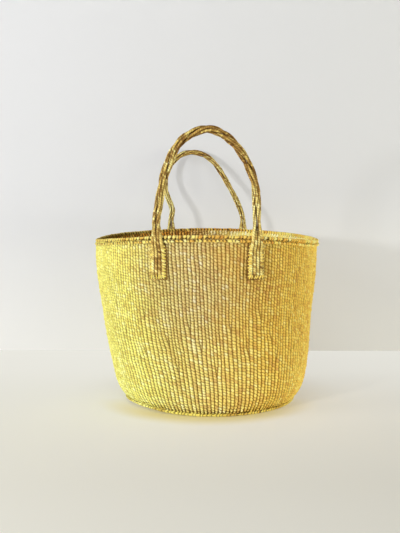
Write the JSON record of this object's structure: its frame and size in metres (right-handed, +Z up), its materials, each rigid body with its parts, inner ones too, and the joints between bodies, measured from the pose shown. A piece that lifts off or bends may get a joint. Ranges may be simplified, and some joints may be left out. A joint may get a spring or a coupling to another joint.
{
  "type": "woven basket",
  "caption": "Round tapered basket of twined sisal with a ribbed wall, a corded rim and foot, and twisted cord handles sewn on outside that fold out or in over the mouth.",
  "frame": {"origin": "centre of the flat underside, on the surface the basket stands on", "axes": "+Z up out of the mouth, -Y towards the front handle, +X to the right seen from the front"},
  "size_m": [0.3528, 0.4124, 0.413],
  "materials": {
    "woven_wall": "matt dyed sisal, yellow weft mixed with mauve-brown",
    "woven_base": "matt dyed sisal",
    "foot_cord": "matt dyed sisal cord",
    "rim_cord": "matt dyed sisal cord",
    "handle_cord": "matt sisal cord with a slight fibre sheen",
    "handle_weave": "matt dyed sisal",
    "sewing_cord": "matt dyed sisal cord"
  },
  "bodies": {
    "basket": {"base_disc": "woven_base", "base_welt": "foot_cord", "wall": "woven_wall", "rim_lower_roll": "rim_cord", "rim_upper_roll": "rim_cord", "front_left_tab": "handle_weave", "front_right_tab": "handle_weave", "rear_left_tab": "handle_weave", "rear_right_tab": "handle_weave", "front_left_tab_sewing": "sewing_cord", "front_right_tab_sewing": "sewing_cord", "rear_left_tab_sewing": "sewing_cord", "rear_right_tab_sewing": "sewing_cord"},
    "front_handle": {"front_handle_strand_a": "handle_cord", "front_handle_strand_b": "handle_cord"},
    "rear_handle": {"rear_handle_strand_a": "handle_cord", "rear_handle_strand_b": "handle_cord"}
  },
  "joints": [
    {"name": "front_handle_swing", "type": "hinge", "parent": "basket", "child": "front_handle", "pos_m": [0, -0.16605, 0.26762], "axis": [1, 0, 0], "range_deg": [-88, 145]},
    {"name": "rear_handle_swing", "type": "hinge", "parent": "basket", "child": "rear_handle", "pos_m": [0, 0.16807, 0.26787], "axis": [-1, 0, 0], "range_deg": [-112, 121]}
  ]
}
